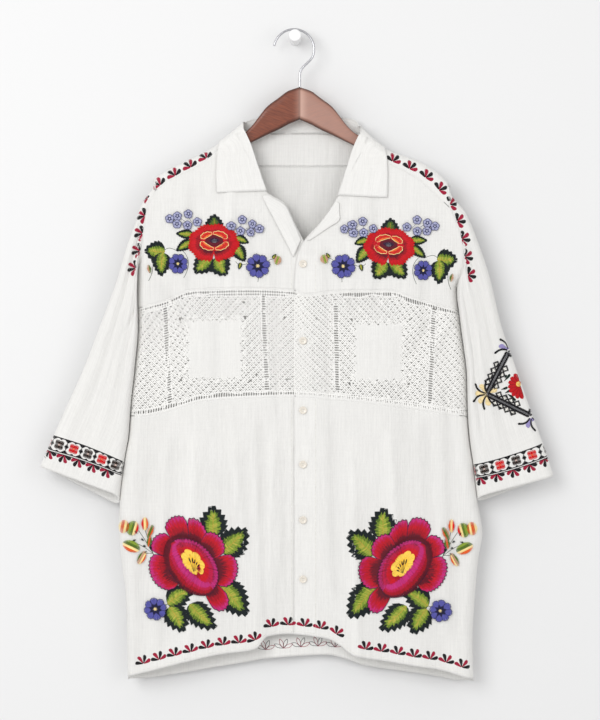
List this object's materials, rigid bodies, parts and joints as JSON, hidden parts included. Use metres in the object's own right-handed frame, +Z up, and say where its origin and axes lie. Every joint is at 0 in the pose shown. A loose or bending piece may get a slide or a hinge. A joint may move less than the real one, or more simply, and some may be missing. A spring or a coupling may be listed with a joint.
{
  "type": "embroidered folk shirt on a wooden hanger",
  "caption": "White cotton folk shirt with a turned collar, lace insert and three-quarter sleeves, buttoned down the front, on a wooden hanger that hangs from a wall peg.",
  "frame": {"origin": "centre of the wall peg's back face, where it meets the wall", "axes": "+Z up, +X to the right of a viewer who faces the wall, +Y into the wall, so the shirt's front faces -Y"},
  "size_m": [0.7713, 0.0582, 0.9786],
  "materials": {
    "cotton": "white crinkled cotton voile",
    "lace": "white bobbin-style cotton lace",
    "shell": "pearly shell button",
    "lacquer": "red-brown wood under gloss lacquer",
    "steel": "bright plated wire",
    "paint": "white satin paint"
  },
  "bodies": {
    "root": {"wall_peg": "paint", "hanger_hook": "steel", "hanger_wood": "lacquer", "back_panel": "cotton", "shoulder_yoke": "cotton", "left_upper_front": "cotton", "right_upper_front": "cotton", "left_lace": "lace", "right_lace": "lace", "left_lower_front": "cotton", "right_lower_front": "cotton", "left_lapel": "cotton", "right_lapel": "cotton", "collar": "cotton", "left_sleeve": "cotton", "right_sleeve": "cotton", "button_1": "shell", "button_2": "shell", "button_3": "shell", "button_4": "shell", "button_5": "shell", "button_6": "shell"}
  },
  "joints": []
}
